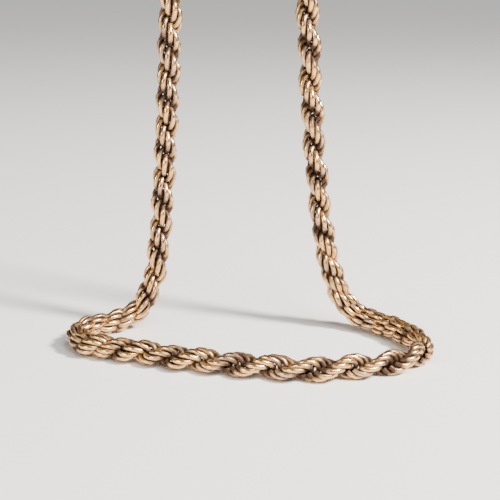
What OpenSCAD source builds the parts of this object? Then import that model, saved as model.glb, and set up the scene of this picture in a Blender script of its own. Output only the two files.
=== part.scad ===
// Rope chain necklace: one closed loop, hung from a peg, whose lower part lies on a table.
// Right is +X, away from the viewer is +Y and up is +Z, in millimetres. The origin is the middle
// of the arch's underside, where the peg carries the chain.
// The chain is a tube of the rope's outer width along its middle line. Its links are too many and
// too fine for this file. One plain barrel clasp closes the loop, high on the left strand.

/* [Chain] */
// Width of the rope, over its links
chain_d = 5.2; // [4.4:0.1:6]

/* [Clasp] */
// Width of the barrel between the two cups
barrel_d = 5.4; // [4.6:0.1:6]
// How far each end of the chain sits in its cup
cup_depth = 3; // [2:0.1:5]
// Wall of the cups
cup_wall = 0.5; // [0.3:0.1:0.9]
// Room round each end of the chain, and behind it
cup_clear = 0.2; // [0.1:0.05:0.3]
// Height of the bead round each cup's mouth
bead_h = 0.8; // [0.5:0.1:1.2]
// How far that bead stands out of its cup
bead_out = 0.3; // [0.2:0.05:0.5]
// Width of the seam where the barrel's halves meet
seam_w = 0.4; // [0.2:0.1:0.8]
// Depth of that seam
seam_depth = 0.3; // [0.1:0.05:0.6]

/* [Hidden] */

// The chain's middle line, from the clasp's lower end down the left strand, along the table,
// up the right strand and over the arch to the clasp's upper end. Each row is right, back, and
// how far the line is lifted above where a lying chain has it.
route = [
    [-14, 30, 147.5], [-14, 30, 138.5], [-14.5, 30, 117.5], [-15.5, 30, 92.5], [-16.5, 30, 67.5],
    [-17.5, 30, 47.5], [-18.5, 30, 32.5], [-19.5, 30, 21.5], [-20.5, 30, 12.5], [-22, 30, 6.5],
    [-24.5, 29.5, 2], [-28, 28, 0], [-32, 25.5, 0], [-35.5, 23, 0], [-37, 19.5, 0],
    [-36.5, 15.5, 0], [-34, 12.5, 0], [-30, 11, 0], [-24, 9, 0], [-16, 5.5, 0],
    [-8, 3, 0], [0, 1, 0], [8, -1, 0], [16, -1, 0], [24, 1, 0],
    [30.5, 3.5, 0], [35, 7, 0], [36, 11.5, 0], [34.5, 17.5, 0], [31.5, 22.5, 0],
    [28, 26, 0], [24, 29, 0.5], [20.5, 30, 4], [18, 30, 10.5], [16, 30, 19.5],
    [14.5, 30, 31.5], [13, 30, 47.5], [12, 30, 67.5], [10.5, 30, 92.5], [9.5, 30, 117.5],
    [9, 30, 142.5], [9, 30, 161.5], [9, 30, 170.5], [7, 30, 178.5], [2.5, 30, 184],
    [-2.5, 30, 185.5], [-7.5, 30, 184], [-12, 30, 178.5], [-14, 30, 170.5], [-14, 30, 163.5],
    [-14, 30, 157.5]
];
ring_count = 79;
tube_sides = 10;

// A point of the route, with one more past each end so that the curve reaches both ends
function route_point(i) =
    i < 0 ? 2 * route[0] - route[1] :
    i > len(route) - 1 ? 2 * route[len(route) - 1] - route[len(route) - 2] :
    route[i];

// A cubic B-spline through the route: place u counts its points, from 0
function curve_in_gap(i, t) =
    (pow(1 - t, 3) * route_point(i - 1)
    + (3 * pow(t, 3) - 6 * pow(t, 2) + 4) * route_point(i)
    + (-3 * pow(t, 3) + 3 * pow(t, 2) + 3 * t + 1) * route_point(i + 1)
    + pow(t, 3) * route_point(i + 2)) / 6;
function curve(u) = let (i = min(floor(u), len(route) - 2)) curve_in_gap(i, u - i);

function unit(v) = v / norm(v);
function across(v, t) = unit(v - (v * t) * t);

// Middle points of the tube's rings, and the way the tube runs at each
line_points = [for (k = [0:ring_count - 1]) curve(k * (len(route) - 1) / (ring_count - 1))];
function line_way(k) =
    unit(line_points[min(k + 1, ring_count - 1)] - line_points[max(k - 1, 0)]);

// One side direction for each ring, carried along so that the tube doesn't twist
ring_sides = [
    for (k = 0, s = across([0, 1, 0], line_way(0)); k < ring_count;
        k = k + 1, s = across(s, line_way(min(k, ring_count - 1)))) s
];

// The route's highest point is the arch's middle, and the origin lies under the chain there
route_heights = [for (p = route) p[2]];
arch_middle = curve(search(max(route_heights), route_heights)[0]);
rest_to_origin = [0, 0, chain_d / 2] - arch_middle;

tube_points = [
    for (k = [0:ring_count - 1])
    for (j = [0:tube_sides - 1])
        let (a = 360 * j / tube_sides, s = ring_sides[k], b = cross(line_way(k), s))
        rest_to_origin + line_points[k] + chain_d / 2 * (cos(a) * s + sin(a) * b)
];
tube_faces = [
    for (k = [0:ring_count - 2])
    for (j = [0:tube_sides - 1])
    for (half = [0, 1])
        let (a = k * tube_sides + j, b = k * tube_sides + (j + 1) % tube_sides)
        half == 0 ? [a, a + tube_sides, b] : [b, a + tube_sides, b + tube_sides]
];
tube_ends = [
    [for (j = [0:tube_sides - 1]) j],
    [for (j = [tube_sides - 1:-1:0]) (ring_count - 1) * tube_sides + j]
];

// The clasp spans the gap between the chain's two ends
chain_start = route[0] + rest_to_origin;
chain_finish = route[len(route) - 1] + rest_to_origin;
clasp_middle = (chain_start + chain_finish) / 2;
core_half = norm(chain_finish - chain_start) / 2 - cup_clear;
clasp_half = core_half + cup_clear + cup_depth;
cup_bore_r = chain_d / 2 + cup_clear;
cup_r = cup_bore_r + cup_wall;
bead_r = cup_r + bead_out;
// The barrel widens to each cup over this height
neck_h = 1.2;

module chain() {
    color([0.78, 0.60, 0.47])
        polyhedron(points = tube_points, faces = concat(tube_faces, tube_ends), convexity = 8);
}

// Half of the clasp's outline, from the seam out to a cup's mouth
half_outline = [
    [0, 0],
    [barrel_d / 2 - seam_depth, 0],
    [barrel_d / 2 - seam_depth, seam_w / 2],
    [barrel_d / 2, seam_w / 2 + seam_depth],
    [barrel_d / 2, core_half - neck_h],
    [cup_r, core_half],
    [cup_r, clasp_half - bead_h],
    [bead_r, clasp_half - bead_h * 2 / 3],
    [bead_r, clasp_half - bead_h / 3],
    [cup_r, clasp_half],
    [cup_bore_r, clasp_half],
    [cup_bore_r, core_half],
    [0, core_half]
];

module half_clasp() {
    rotate_extrude($fn = 48)
        polygon(half_outline);
}

module clasp() {
    color([0.80, 0.62, 0.48])
        translate(clasp_middle) {
            half_clasp();
            mirror([0, 0, 1])
                half_clasp();
        }
}

chain();
clasp();
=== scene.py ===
# %% [markdown]
# # A rope chain necklace
# A rope chain looks like two cords laid round each other, but there are no cords in it. It is a
# row of short open links, each hooked through the ones before it and turned a little further.
# This lesson models one link by hand, then lays a few hundred copies of it along the line in
# which the necklace hangs and lies.

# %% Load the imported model
import math
import random

import bpy
import numpy as np
from mathutils import Matrix, Vector


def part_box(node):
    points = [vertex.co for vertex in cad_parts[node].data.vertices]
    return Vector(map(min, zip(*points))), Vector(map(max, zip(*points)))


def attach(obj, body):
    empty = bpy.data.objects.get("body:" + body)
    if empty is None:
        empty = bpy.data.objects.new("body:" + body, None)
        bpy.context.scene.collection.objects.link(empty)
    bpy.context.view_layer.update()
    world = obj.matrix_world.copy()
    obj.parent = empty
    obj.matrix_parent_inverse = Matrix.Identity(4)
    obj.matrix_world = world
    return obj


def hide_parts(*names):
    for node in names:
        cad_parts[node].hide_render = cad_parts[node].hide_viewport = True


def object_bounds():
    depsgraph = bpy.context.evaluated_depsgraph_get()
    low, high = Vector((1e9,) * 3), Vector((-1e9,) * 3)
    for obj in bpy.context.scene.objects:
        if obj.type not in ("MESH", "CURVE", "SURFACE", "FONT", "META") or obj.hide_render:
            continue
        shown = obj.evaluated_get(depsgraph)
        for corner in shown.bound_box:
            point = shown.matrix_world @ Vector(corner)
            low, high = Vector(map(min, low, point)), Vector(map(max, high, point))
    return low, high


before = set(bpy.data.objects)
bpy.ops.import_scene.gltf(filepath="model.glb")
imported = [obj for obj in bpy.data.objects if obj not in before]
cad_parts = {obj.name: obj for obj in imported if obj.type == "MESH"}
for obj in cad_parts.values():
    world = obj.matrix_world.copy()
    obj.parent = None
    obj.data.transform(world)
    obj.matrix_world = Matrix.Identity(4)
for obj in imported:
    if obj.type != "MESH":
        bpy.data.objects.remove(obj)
MM = 0.001
cad_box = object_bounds()
print("the packed pieces:", sorted(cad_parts))

# %% [markdown]
# The camera comes first. The photograph is taken with a fairly long lens, from a little above the
# table. The field of view, the tilt and the distance were found by drawing the line of the chain
# over the photograph until both the near and the far strands had their right widths.

# %% Camera
TABLE_Z = cad_box[0][2]
FIELD_OF_VIEW = math.radians(28)
CAMERA_TILT = math.radians(15.5)
CAMERA_PLACE = Vector((2.5 * MM, -213.7 * MM, TABLE_Z + 77.4 * MM))
SENSOR_WIDTH = 36     # in millimetres, as Blender counts a camera's sensor and lens

camera = bpy.data.cameras.new("camera")
camera.sensor_width = SENSOR_WIDTH
camera.lens = SENSOR_WIDTH / 2 / math.tan(FIELD_OF_VIEW / 2)
camera.clip_start = 10 * MM
camera_object = bpy.data.objects.new("camera", camera)
camera_object.location = CAMERA_PLACE
camera_object.rotation_euler = (math.pi / 2 - CAMERA_TILT, 0, 0)
bpy.context.scene.collection.objects.link(camera_object)
bpy.context.scene.camera = camera_object
print("lens", round(camera.lens, 1), "mm")

# %% [markdown]
# The middle line of the necklace is a smooth curve near a few listed points. It starts in
# the clasp's lower cup, comes down the left strand, goes round on the table, climbs the right
# strand and passes over the arch back to the clasp. It could be a Blender curve, but every link
# has to be placed along it by its distance, so it is worked out as an array. A uniform cubic
# B-spline never overshoots its points, so a chain that lies on a table stays on it. Each row below
# is right, back, and how far the line is lifted above where a lying chain has it, in millimetres.

# %% The middle line
CHAIN_WIDTH = 5.2 * MM
ROUTE = [
    (-14, 30, 147.5), (-14, 30, 138.5), (-14.5, 30, 117.5), (-15.5, 30, 92.5), (-16.5, 30, 67.5),
    (-17.5, 30, 47.5), (-18.5, 30, 32.5), (-19.5, 30, 21.5), (-20.5, 30, 12.5), (-22, 30, 6.5),
    (-24.5, 29.5, 2), (-28, 28, 0), (-32, 25.5, 0), (-35.5, 23, 0), (-37, 19.5, 0),
    (-36.5, 15.5, 0), (-34, 12.5, 0), (-30, 11, 0), (-24, 9, 0), (-16, 5.5, 0),
    (-8, 3, 0), (0, 1, 0), (8, -1, 0), (16, -1, 0), (24, 1, 0),
    (30.5, 3.5, 0), (35, 7, 0), (36, 11.5, 0), (34.5, 17.5, 0), (31.5, 22.5, 0),
    (28, 26, 0), (24, 29, 0.5), (20.5, 30, 4), (18, 30, 10.5), (16, 30, 19.5),
    (14.5, 30, 31.5), (13, 30, 47.5), (12, 30, 67.5), (10.5, 30, 92.5), (9.5, 30, 117.5),
    (9, 30, 142.5), (9, 30, 161.5), (9, 30, 170.5), (7, 30, 178.5), (2.5, 30, 184),
    (-2.5, 30, 185.5), (-7.5, 30, 184), (-12, 30, 178.5), (-14, 30, 170.5), (-14, 30, 163.5),
    (-14, 30, 157.5),
]
ARCH_POINT = 45      # the route's highest point, over the origin
STEPS_IN_GAP = 60


def route_curve(points, steps):
    """The smooth curve as an array of closely spaced places, in metres."""
    p = np.array(points, float) * MM
    p = np.vstack([2 * p[0] - p[1], p, 2 * p[-1] - p[-2]])
    t = (np.arange(steps) / steps)[:, None]
    weights = (
        (1 - t) ** 3 / 6,
        (3 * t ** 3 - 6 * t ** 2 + 4) / 6,
        (-3 * t ** 3 + 3 * t ** 2 + 3 * t + 1) / 6,
        t ** 3 / 6,
    )
    gaps = [sum(w * p[i + j] for j, w in enumerate(weights)) for i in range(len(p) - 3)]
    return np.vstack(gaps + [p[-2:-1]])


line = route_curve(ROUTE, STEPS_IN_GAP)
line = line - line[ARCH_POINT * STEPS_IN_GAP] + np.array([0, 0, CHAIN_WIDTH / 2])
along = np.concatenate([[0], np.cumsum(np.linalg.norm(np.diff(line, axis=0), axis=1))])
LENGTH = along[-1]
print("the chain is", round(LENGTH / MM, 1), "mm long")

# %% [markdown]
# Every link needs an upright of its own: the way the line runs, and a side direction. If the side
# is always carried from one place to the next and only made square to the line again, it doesn't
# twist by itself, and the whole twist of the rope can be given on purpose.

# %% Side directions carried along the line
line_ways = np.gradient(line, axis=0)
line_ways = line_ways / np.linalg.norm(line_ways, axis=1)[:, None]


def carried_sides(ways):
    """One side direction for each place, square to the line and without twist."""
    side = np.cross(ways[0], (1, 0, 0))
    sides = []
    for way in ways:
        side = side - side.dot(way) * way
        side = side / np.linalg.norm(side)
        sides.append(side)
    return np.array(sides)


line_sides = carried_sides(line_ways)
print(len(line_sides), "side directions, the first", [round(float(x), 2) for x in line_sides[0]])


# %% Any place on the line
def place_on_line(distance):
    """Middle, way and side of the line at a distance from its start."""
    def at(rows):
        return np.array([np.interp(distance, along, rows[:, i]) for i in range(3)])
    way = at(line_ways) / np.linalg.norm(at(line_ways))
    side = at(line_sides) - at(line_sides).dot(way) * way
    return at(line), way, side / np.linalg.norm(side)


print("halfway along is", [round(float(x) / MM) for x in place_on_line(LENGTH / 2)[0]], "mm")

# %% [markdown]
# The link is an open loop of round wire with two short straight sides, the shape that wire takes
# when it is wound on an oval rod and sawn apart. The opening matters: the wires of the next links
# pass through it, which is what lets so many links share so little room. A wire is a circle swept
# along a line. A curve with a bevel could do that, but a circle that is spun round the link's ends
# and extruded along its sides keeps the faces few and the sawn ends closed, and a shape that is
# repeated hundreds of times needs both. Six sides would make a thin wire, so its corners stand a
# little further out than a round wire's surface.

# %% The wire and the link's sizes
WIRE = 0.95 * MM
WIRE_SIDES = 6
WIRE_CORNER = 0.585 * WIRE      # the six corners' distance from the wire's middle line
END_R = 2.14 * WIRE             # middle of the wire, at the link's round ends
SIDE_HALF = 0.3 * WIRE          # half of a straight side
LINK_ASIDE = -0.09 * WIRE       # how far the link sits off the rope's middle, in its own flat
LINK_OFFSET = 0.06 * WIRE       # and how far beside its flat
LINK_TIP = math.radians(1)      # how far it tips out of its flat
LINK_LEAN = math.radians(13)    # how far it leans in its flat, after the lay of the rope
OPENING = 52                    # degrees of the lower round end that are sawn away
OPENING_PLACE = -76             # middle of the opening; -90 degrees is the lowest point
LINK_HALF = END_R + SIDE_HALF + WIRE / 2
print("a link is", round(2 * LINK_HALF / MM, 2), "mm long")


# %% Helpers for modelling by hand
def clear_selection():
    """Nothing stays selected, so an operator acts only on what is chosen next."""
    if bpy.context.mode != "OBJECT":
        bpy.ops.object.mode_set(mode="OBJECT")
    bpy.ops.object.select_all(action="DESELECT")


def extend(x=0, y=0, z=0):
    """Extrude what is selected along a straight line."""
    bpy.ops.mesh.extrude_region_move(TRANSFORM_OT_translate={"value": (x, y, z)})


def swing(middle, degrees, steps):
    """Spin what is selected round a middle, in the link's flat."""
    bpy.ops.mesh.spin(steps=steps, angle=math.radians(degrees), center=middle, axis=(0, 1, 0))


# %% One link
UPPER_END, LOWER_END = (0, 0, SIDE_HALF), (0, 0, -SIDE_HALF)
FIRST_ARC = -(OPENING_PLACE + OPENING / 2)      # from the opening up to the first straight side
LAST_ARC = 180 - OPENING - FIRST_ARC            # and from the second side down to the opening
FIRST_STEPS, UPPER_STEPS, LAST_STEPS = 2, 6, 3
ROUND_BELOW = math.radians(75)                  # edges that bend less than this are shaded round

clear_selection()
sawn_at = math.radians(-FIRST_ARC)
bpy.ops.mesh.primitive_circle_add(
    vertices=WIRE_SIDES, radius=WIRE_CORNER, rotation=(0, -sawn_at, 0),
    location=(END_R * math.cos(sawn_at), 0, END_R * math.sin(sawn_at) - SIDE_HALF))
link = bpy.context.object
link.name = "link"
bpy.ops.object.transform_apply(location=True, rotation=True, scale=True)
bpy.ops.object.mode_set(mode="EDIT")
bpy.ops.mesh.select_all(action="SELECT")
bpy.ops.mesh.edge_face_add()
swing(LOWER_END, FIRST_ARC, FIRST_STEPS)
extend(z=2 * SIDE_HALF)
swing(UPPER_END, 180, UPPER_STEPS)
extend(z=-2 * SIDE_HALF)
swing(LOWER_END, LAST_ARC, LAST_STEPS)
bpy.ops.mesh.select_all(action="SELECT")
bpy.ops.transform.translate(value=(LINK_ASIDE, LINK_OFFSET, 0))
bpy.ops.mesh.normals_make_consistent(inside=False)
bpy.ops.object.mode_set(mode="OBJECT")
bpy.ops.object.shade_smooth_by_angle(angle=ROUND_BELOW)
print("one link has", len(link.data.polygons), "faces")

# %% [markdown]
# Rubbing keeps the outside of the rope bright, while brown tarnish stays where nothing rubs. The
# same number also paints shade: it darkens the hidden wires near the rope's middle and the sides
# of the wires. Ambient occlusion could find the hidden places at render time, but it is slow. Here
# a point's distance from the rope's middle, and how squarely it faces outwards, say how worn it is
# and how lit it is painted. Both are known on the single link, so the wear and painted light are
# kept there as an attribute that all copies carry.

# %% Wear and painted shade of each point of the link
WEAR_AND_LIGHT_FROM, WEAR_AND_LIGHT_TO = 1.7 * WIRE, 2.6 * WIRE     # distances from the rope's middle
SIDE_WEAR_AND_LIGHT = 0.2                                 # wear and painted light of a surface that faces along the rope; the rest paints its side darker


def store(mesh, name, values):
    """Keep one number for each vertex."""
    layer = mesh.attributes.new(name, "FLOAT", "POINT")
    layer.data.foreach_set("value", np.asarray(values, np.float32))


wear_and_painted_light = []
for v in link.data.vertices:
    flat = Vector((v.co.x, v.co.y, 0))
    facing = max(0.0, v.normal.dot(flat.normalized()))
    nearness = min(1.0, max(0.0, (flat.length - WEAR_AND_LIGHT_FROM) / (WEAR_AND_LIGHT_TO - WEAR_AND_LIGHT_FROM)))
    # Low values mark tarnish where nothing rubs, and also paint shade in the rope's recesses and
    # on the wires' sides.
    wear_and_painted_light.append(nearness * (SIDE_WEAR_AND_LIGHT + (1 - SIDE_WEAR_AND_LIGHT) * facing))
store(link.data, "wear_and_painted_light", wear_and_painted_light)
print("worn from", round(min(wear_and_painted_light), 2), "to", round(max(wear_and_painted_light), 2))

# %% [markdown]
# The links are laid one after another, and each is turned against the last. Every half turn of
# the rope makes one bulge. In the photograph the bulges are long in front, shorter in the hanging
# strands and shortest in the two bends, where the links are also pushed together. An Array
# modifier could repeat the link along a curve, but only with one step and one turn for the whole
# rope. So each row below is a distance along the chain, the length of a bulge there and the step
# from link to link, in millimetres, and what lies between the rows changes evenly. At the end all
# links are joined into one piece, because the chain is shown in one resting form.

# %% How the rope is laid
LAY = [
    (0, 6.4, 1.25), (78, 5.55, 1.25), (136, 5.55, 1.25), (144, 4.8, 1.0), (154, 4.1, 0.8),
    (160, 3.2, 0.7), (168, 3.2, 0.7), (174, 4.4, 0.83), (184, 6.0, 1.25), (194, 6.5, 1.25),
    (205, 7.8, 1.25), (244, 7.8, 1.25), (250, 5.1, 1.0), (258, 3.1, 0.68), (270, 2.95, 0.68),
    (276, 4.1, 0.8), (288, 5.1, 1.05), (297, 6.85, 1.25), (500, 6.85, 1.25),
]
FIRST_TURN = -22                # degrees
WOBBLE = math.radians(1.5)      # unevenness of the handwork
HANDWORK_SEED = 11


def lay_at(distance):
    """The bulge's length and the step at a distance along the chain."""
    places, bulges, steps = zip(*LAY)
    return np.interp(distance / MM, places, bulges), np.interp(distance / MM, places, steps)


def standing(distance, turned):
    """Where a link stands: its axes are across, beside and along the line, turned by degrees."""
    middle, way, side = place_on_line(distance)
    a = math.radians(turned)
    across = math.cos(a) * side + math.sin(a) * np.cross(way, side)
    beside = np.cross(way, across)
    rows = [[across[i], beside[i], way[i], middle[i]] for i in range(3)]
    return Matrix(rows + [[0, 0, 0, 1]])


print("bulges are", min(r[1] for r in LAY), "to", max(r[1] for r in LAY), "mm long")

# %% Lay the links
random.seed(HANDWORK_SEED)
copies = []
distance, turned = LINK_HALF, FIRST_TURN
while distance < LENGTH - LINK_HALF:
    tip, lean, swivel = (random.uniform(-WOBBLE, WOBBLE) for _ in range(3))
    tone = random.random()
    piece = link.copy()
    piece.data = link.data.copy()
    store(piece.data, "tone", [tone] * len(piece.data.vertices))
    piece.matrix_world = (standing(distance, turned)
                          @ Matrix.Rotation(tip + LINK_TIP, 4, "X")
                          @ Matrix.Rotation(lean + LINK_LEAN, 4, "Y")
                          @ Matrix.Rotation(swivel, 4, "Z"))
    bpy.context.scene.collection.objects.link(piece)
    copies.append(piece)
    bulge, step = lay_at(distance)
    distance += step * MM
    turned -= 180 * step / bulge
print(len(copies), "links")

# %% Join them into one rope
rope = bpy.data.objects.new("rope_chain", bpy.data.meshes.new("rope_chain"))
bpy.context.scene.collection.objects.link(rope)
bpy.context.view_layer.update()
clear_selection()
for piece in copies:
    piece.select_set(True)
rope.select_set(True)
bpy.context.view_layer.objects.active = rope
bpy.ops.object.join()
bpy.data.objects.remove(link)
print("the rope has", len(rope.data.polygons), "faces")

# %% [markdown]
# The clasp is out of the photograph, so it is the plain kind that such a chain has: a barrel whose
# halves screw together, with a cup at each end that the chain is soldered into. A lathe would turn
# it, and a Screw modifier could do the same to a profile. By hand it is a cylinder whose top is
# extruded and resized once for each step of its outline, and the lower half is a mirror image.

# %% Sizes of the clasp
BARREL_R = 2.7 * MM
CUP_BORE_R = 2.8 * MM
CUP_R = 3.3 * MM
BEAD_R = 3.6 * MM
CORE_HALF = 4.8 * MM            # half of the solid part, between the cups
CLASP_HALF = 8.0 * MM
NECK_H = 1.2 * MM               # the barrel widens to each cup over this height
BEAD_H = 0.8 * MM
SEAM_DEPTH = 0.3 * MM
SEAM_HALF = 0.2 * MM            # half of the seam's width
CLASP_SIDES = 64
SAME_PLACE = MM * 0.001         # points closer than this are one point
LEVEL = 0.9                     # a face is level if its normal is at least this far up or down
OUTLINE = [                    # height and radius, from the seam out to the cup and into its bore
    (SEAM_HALF + SEAM_DEPTH, BARREL_R),
    (CORE_HALF - NECK_H, BARREL_R),
    (CORE_HALF, CUP_R),
    (CLASP_HALF - BEAD_H, CUP_R),
    (CLASP_HALF - BEAD_H * 2 / 3, BEAD_R),
    (CLASP_HALF - BEAD_H / 3, BEAD_R),
    (CLASP_HALF, CUP_R),
    (CLASP_HALF, CUP_BORE_R),
    (CORE_HALF, CUP_BORE_R),
]
clasp_low, clasp_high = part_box("clasp")
clasp_middle = (clasp_low + clasp_high) / 2
print("the clasp is", round(2 * CLASP_HALF / MM, 1), "mm long, and its box",
      round((clasp_high - clasp_low)[2] / MM, 1), "mm")


# %% Upper half of the clasp
def select_level(ob, height, facing):
    """In edit mode, select the level face at a height that faces up (1) or down (-1)."""
    bpy.ops.object.mode_set(mode="EDIT")
    bpy.ops.mesh.select_mode(type="FACE")
    bpy.ops.mesh.select_all(action="DESELECT")
    bpy.ops.object.mode_set(mode="OBJECT")
    for p in ob.data.polygons:
        p.select = abs(p.center.z - height) < SAME_PLACE and p.normal.z * facing > LEVEL
    bpy.ops.object.mode_set(mode="EDIT")


clear_selection()
height, radius = SEAM_HALF, BARREL_R - SEAM_DEPTH
bpy.ops.mesh.primitive_cylinder_add(
    vertices=CLASP_SIDES, radius=radius, depth=height, location=(0, 0, height / 2))
clasp = bpy.context.object
clasp.name = "barrel_clasp"
bpy.ops.object.transform_apply(location=True, rotation=True, scale=True)
select_level(clasp, height, facing=1)
for next_height, next_radius in OUTLINE:
    extend(z=next_height - height)
    share = next_radius / radius
    bpy.ops.transform.resize(value=(share, share, 1), center_override=(0, 0, next_height))
    height, radius = next_height, next_radius
select_level(clasp, 0, facing=-1)
bpy.ops.mesh.delete(type="FACE")
bpy.ops.object.mode_set(mode="OBJECT")
print("the upper half has", len(clasp.data.polygons), "faces")

# %% [markdown]
# The mirror's merging distance is one millimetre unless it is changed, which would close the
# clasp's narrow seam. The edges of turned metal are never quite sharp, so they are bevelled. A
# narrow bevel tilts the smooth normals of the long faces beside it, and weighted normals put them
# straight again.

# %% Whole clasp
EDGE_WIDTH = 0.08 * MM
EDGE_SEGMENTS = 2
BEVEL_ABOVE = math.radians(25)      # edges that bend more than this are bevelled
SMOOTH_BELOW = math.radians(35)     # and those that bend less than this are shaded round

mirror = clasp.modifiers.new("lower half", "MIRROR")
mirror.use_axis = (False, False, True)
mirror.merge_threshold = SAME_PLACE
bpy.ops.object.modifier_apply(modifier=mirror.name)
bevel = clasp.modifiers.new("soft edges", "BEVEL")
bevel.width = EDGE_WIDTH
bevel.segments = EDGE_SEGMENTS
bevel.limit_method = "ANGLE"
bevel.angle_limit = BEVEL_ABOVE
bpy.ops.object.modifier_apply(modifier=bevel.name)
bpy.ops.object.mode_set(mode="EDIT")
bpy.ops.mesh.select_all(action="SELECT")
bpy.ops.mesh.remove_doubles(threshold=SAME_PLACE)
bpy.ops.mesh.normals_make_consistent(inside=False)
bpy.ops.transform.translate(value=clasp_middle)
bpy.ops.object.mode_set(mode="OBJECT")
bpy.ops.object.shade_smooth_by_angle(angle=SMOOTH_BELOW)
even = clasp.modifiers.new("even shading", "WEIGHTED_NORMAL")
even.keep_sharp = True
bpy.ops.object.modifier_apply(modifier=even.name)
print("the clasp has", len(clasp.data.polygons), "faces")

# %% [markdown]
# The metal is a rose-toned gold alloy, worn and a little tarnished. Painted textures would need
# UV maps on hundreds of links, while noise on Object coordinates runs on through all of them. What
# both pieces share is one node group: it mottles the polish, lays a greyish film on patches,
# browns the metal where it isn't worn, as tarnish in patches and as painted shade in the rope's
# hidden places and on its wires' sides, and dulls it there. The group gives only values, and each
# material keeps its own shader.


# %% An empty shader group
def new_group(name, inputs, outputs):
    """An empty shader group with named sockets."""
    group = bpy.data.node_groups.new(name, "ShaderNodeTree")
    for label, kind, value in inputs:
        socket = group.interface.new_socket(label, in_out="INPUT", socket_type=kind)
        if value is not None:
            socket.default_value = value
    for label, kind in outputs:
        group.interface.new_socket(label, in_out="OUTPUT", socket_type=kind)
    start = group.nodes.new("NodeGroupInput")
    end = group.nodes.new("NodeGroupOutput")
    return group, start, end


# %% Nodes that work with values
def add_noise(tree, place, scale, detail, roughness=0.5):
    """Noise at a place, as a value from 0 to 1."""
    node = tree.nodes.new("ShaderNodeTexNoise")
    node.inputs["Scale"].default_value = scale
    node.inputs["Detail"].default_value = detail
    node.inputs["Roughness"].default_value = roughness
    tree.links.new(place, node.inputs["Vector"])
    return node.outputs["Fac"]


def add_range(tree, value, numbers):
    """Turn a value from one range into another: two numbers for the first, two for the second."""
    node = tree.nodes.new("ShaderNodeMapRange")
    for label, number in zip(("From Min", "From Max", "To Min", "To Max"), numbers):
        node.inputs[label].default_value = number
    tree.links.new(value, node.inputs["Value"])
    return node.outputs["Result"]


def add_math(tree, operation, first_value, second_value):
    """Add or subtract two values, each a number or another node's output."""
    node = tree.nodes.new("ShaderNodeMath")
    node.operation = operation
    for socket, value in zip(node.inputs, (first_value, second_value)):
        if isinstance(value, (int, float)):
            socket.default_value = value
        else:
            tree.links.new(value, socket)
    return node.outputs[0]


# %% A node that mixes two colours
def add_mix(tree, share, first_color, second_color):
    """Go from the first colour to the second as the share rises from 0 to 1."""
    node = tree.nodes.new("ShaderNodeMix")
    node.data_type = "RGBA"
    tree.links.new(share, node.inputs[0])
    for socket, value in ((node.inputs[6], first_color), (node.inputs[7], second_color)):
        if isinstance(value, tuple):
            socket.default_value = value
        else:
            tree.links.new(value, socket)
    return node.outputs[2]


# %% Colours and ranges of the worn metal
POLISH = (0.93, 0.575, 0.25, 1)
DEEP_POLISH = (0.76, 0.42, 0.19, 1)
# dark brown for tarnish, and for the painted shade in the rope's recesses
TARNISH_AND_SHADE = (0.07, 0.035, 0.017, 1)
FILM = (0.42, 0.30, 0.27, 1)
PATCH_SCALE, PATCH_DETAIL = 420, 3                      # patches of about 2 mm
FINE_SCALE, FINE_DETAIL, FINE_ROUGHNESS = 3200, 4, 0.6  # and specks of about 0.3 mm
# In each range, the first two numbers become the last two.
PATCHES_TO_TARNISH = (0.3, 0.7, -0.22, 0.22)
WEAR_TO_TARNISH_AND_SHADE = (0.3, 0.9, 0, 1)
TONE_TO_FILM = (0, 1, -0.14, 0.16)
PATCHES_TO_FILM = (0.48, 0.70, 0, 0.6)
FINE_TO_MOTTLE = (0.35, 0.65, 0, 0.35)
FINE_TO_ROUGHNESS = (0.3, 0.7, 0.16, 0.31)
TARNISH_AND_SHADE_TO_ROUGHNESS = (0, 1, 0, 0.3)
TARNISH_AND_SHADE_TO_METAL = (0, 1, 1, 0.6)
print("polish", POLISH[:3], "and tarnish", TARNISH_AND_SHADE[:3])

# %% The worn rose metal as a node group
group, start, end = new_group(
    "worn rose metal",
    [("Place", "NodeSocketVector", None), ("Wear and painted light", "NodeSocketFloat", 1.0),
     ("Tone", "NodeSocketFloat", 0.5), ("Polish", "NodeSocketColor", POLISH),
     ("Tarnish and painted shade", "NodeSocketColor", TARNISH_AND_SHADE), ("Film", "NodeSocketColor", FILM)],
    [("Color", "NodeSocketColor"), ("Roughness", "NodeSocketFloat"),
     ("Metal", "NodeSocketFloat"), ("Height", "NodeSocketFloat")])
place = start.outputs["Place"]
patches = add_noise(group, place, PATCH_SCALE, PATCH_DETAIL)
fine = add_noise(group, place, FINE_SCALE, FINE_DETAIL, FINE_ROUGHNESS)
# Little wear gives tarnish, and on the rope also painted shade where it is hidden or faces
# sideways.
tarnish_and_shade = add_math(group, "SUBTRACT", 1.0, start.outputs["Wear and painted light"])
tarnish_and_shade = add_math(group, "ADD", tarnish_and_shade, add_range(group, patches, PATCHES_TO_TARNISH))
tarnish_and_shade = add_range(group, tarnish_and_shade, WEAR_TO_TARNISH_AND_SHADE)
film = add_math(group, "ADD", patches, add_range(group, start.outputs["Tone"], TONE_TO_FILM))
film = add_range(group, film, PATCHES_TO_FILM)
mottle = add_range(group, fine, FINE_TO_MOTTLE)
color = add_mix(group, mottle, start.outputs["Polish"], DEEP_POLISH)
color = add_mix(group, film, color, start.outputs["Film"])
color = add_mix(group, tarnish_and_shade, color, start.outputs["Tarnish and painted shade"])
dull = add_math(group, "ADD", add_range(group, fine, FINE_TO_ROUGHNESS),
                add_range(group, tarnish_and_shade, TARNISH_AND_SHADE_TO_ROUGHNESS))
metal = add_range(group, tarnish_and_shade, TARNISH_AND_SHADE_TO_METAL)
for label, value in (("Color", color), ("Roughness", dull), ("Metal", metal), ("Height", fine)):
    group.links.new(value, end.inputs[label])
print("the group has", len(group.nodes), "nodes")

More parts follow.
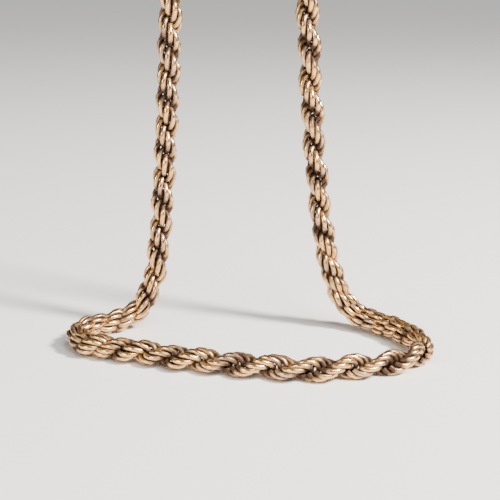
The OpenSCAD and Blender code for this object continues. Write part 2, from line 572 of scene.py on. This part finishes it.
# %% [markdown]
# The rope reads its wear, with the painted shade of its recesses and wire sides, and its tone from
# the attributes that each link carries, so no two links are quite alike. The clasp is smooth all
# over, so two plain numbers serve there.

# %% Materials
RELIEF_DEPTH = 0.02 * MM


def read_attribute(tree, name):
    """An attribute of the mesh as a value."""
    node = tree.nodes.new("ShaderNodeAttribute")
    node.attribute_name = name
    return node.outputs["Fac"]


def rose_metal(name, wear_and_light_value, tone_value, bump):
    """A material round the shared group; wear with painted light, and tone, are each a number or
    an attribute's name.
    """
    material = bpy.data.materials.new(name)
    material.use_nodes = True
    tree = material.node_tree
    shader = tree.nodes["Principled BSDF"]
    finish = tree.nodes.new("ShaderNodeGroup")
    finish.node_tree = group
    places = tree.nodes.new("ShaderNodeTexCoord")
    tree.links.new(places.outputs["Object"], finish.inputs["Place"])
    for label, value in (("Wear and painted light", wear_and_light_value), ("Tone", tone_value)):
        if isinstance(value, str):
            tree.links.new(read_attribute(tree, value), finish.inputs[label])
        else:
            finish.inputs[label].default_value = value
    for label, target in (("Color", "Base Color"), ("Roughness", "Roughness"),
                          ("Metal", "Metallic")):
        tree.links.new(finish.outputs[label], shader.inputs[target])
    relief = tree.nodes.new("ShaderNodeBump")
    relief.inputs["Strength"].default_value = bump
    relief.inputs["Distance"].default_value = RELIEF_DEPTH
    tree.links.new(finish.outputs["Height"], relief.inputs["Height"])
    tree.links.new(relief.outputs["Normal"], shader.inputs["Normal"])
    return material


# On the rope the attribute paints shade in the recesses as well as wear; the clasp's number is
# wear alone.
rope_metal = rose_metal("rope metal", wear_and_light_value="wear_and_painted_light", tone_value="tone", bump=0.5)
clasp_metal = rose_metal("clasp metal", wear_and_light_value=0.85, tone_value=0.4, bump=0.4)
for piece, material in ((rope, rope_metal), (clasp, clasp_metal)):
    piece.data.materials.clear()
    piece.data.materials.append(material)
    print(piece.name, "is of", material.name)

# %% [markdown]
# The object is shown on a plain pale table, in soft light. Metal shows its form by what it
# mirrors, so one soft lamp stands high on the right, a wider and weaker one low on the left, an
# even daylight comes from above, and the surroundings are dimmer than all of them. A picture of a
# studio could be wrapped round the scene instead, but lamps can be moved and dimmed one by one.

# %% Table
TABLE_SIZE = 12                 # metres, so that its edge is far behind the object
TABLE_COLOR = (0.80, 0.79, 0.77, 1)
TABLE_GLOSS = 0.05              # nearly none, as on matt paper

clear_selection()
bpy.ops.mesh.primitive_plane_add(size=TABLE_SIZE, location=(0, 0, TABLE_Z))
table = bpy.context.object
table.name = "table"
bpy.ops.object.transform_apply(location=True, rotation=True, scale=True)
table_surface = bpy.data.materials.new("pale table")
table_surface.use_nodes = True
table_shader = table_surface.node_tree.nodes["Principled BSDF"]
table_shader.inputs["Base Color"].default_value = TABLE_COLOR
table_shader.inputs["Roughness"].default_value = 1.0
table_shader.inputs["Specular IOR Level"].default_value = TABLE_GLOSS
table.data.materials.append(table_surface)
print("the table's top is", round(-TABLE_Z / MM, 1), "mm below the origin")


# %% Lamps
def soft_lamp(name, place, aim, size, power, color):
    """A round lamp: its width in metres and its power in watts."""
    lamp = bpy.data.lights.new(name, "AREA")
    lamp.shape = "DISK"
    lamp.size = size
    lamp.energy = power
    lamp.color = color
    lamp_object = bpy.data.objects.new(name, lamp)
    lamp_object.location = place
    lamp_object.rotation_euler = (Vector(aim) - Vector(place)).to_track_quat("-Z", "Y").to_euler()
    bpy.context.scene.collection.objects.link(lamp_object)


WARM_WHITE, NEAR_WHITE = (1.0, 0.94, 0.86), (1.0, 0.98, 0.95)
MIDDLE_OF_VIEW = (0, 0, TABLE_Z + 60 * MM)
soft_lamp("key lamp", place=(0.45, -0.22, TABLE_Z + 0.45), aim=MIDDLE_OF_VIEW,
          size=0.13, power=17, color=WARM_WHITE)
soft_lamp("fill lamp", place=(-0.45, -0.45, TABLE_Z + 0.25), aim=MIDDLE_OF_VIEW,
          size=0.30, power=2.5, color=NEAR_WHITE)

# %% Daylight and surroundings
DAYLIGHT_POWER = 2.6
DAYLIGHT_SPREAD = math.radians(30)      # the wider it is, the softer the shadows
DAYLIGHT_TURN = (math.radians(35), math.radians(25), 0)
ROOM_GREY = (0.63, 0.63, 0.63, 1)
ROOM_LIGHT = 0.25

daylight = bpy.data.lights.new("daylight", "SUN")
daylight.energy = DAYLIGHT_POWER
daylight.angle = DAYLIGHT_SPREAD
daylight_object = bpy.data.objects.new("daylight", daylight)
daylight_object.rotation_euler = DAYLIGHT_TURN
bpy.context.scene.collection.objects.link(daylight_object)
world = bpy.data.worlds.new("soft grey room")
world.use_nodes = True
room_light = world.node_tree.nodes["Background"]
room_light.inputs["Color"].default_value = ROOM_GREY
room_light.inputs["Strength"].default_value = ROOM_LIGHT
bpy.context.scene.world = world
print("daylight of", DAYLIGHT_POWER, "and a", world.name)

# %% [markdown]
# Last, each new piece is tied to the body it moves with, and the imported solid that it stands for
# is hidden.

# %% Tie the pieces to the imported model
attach(rope, "root")
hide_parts("chain")
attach(clasp, "root")
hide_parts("clasp")
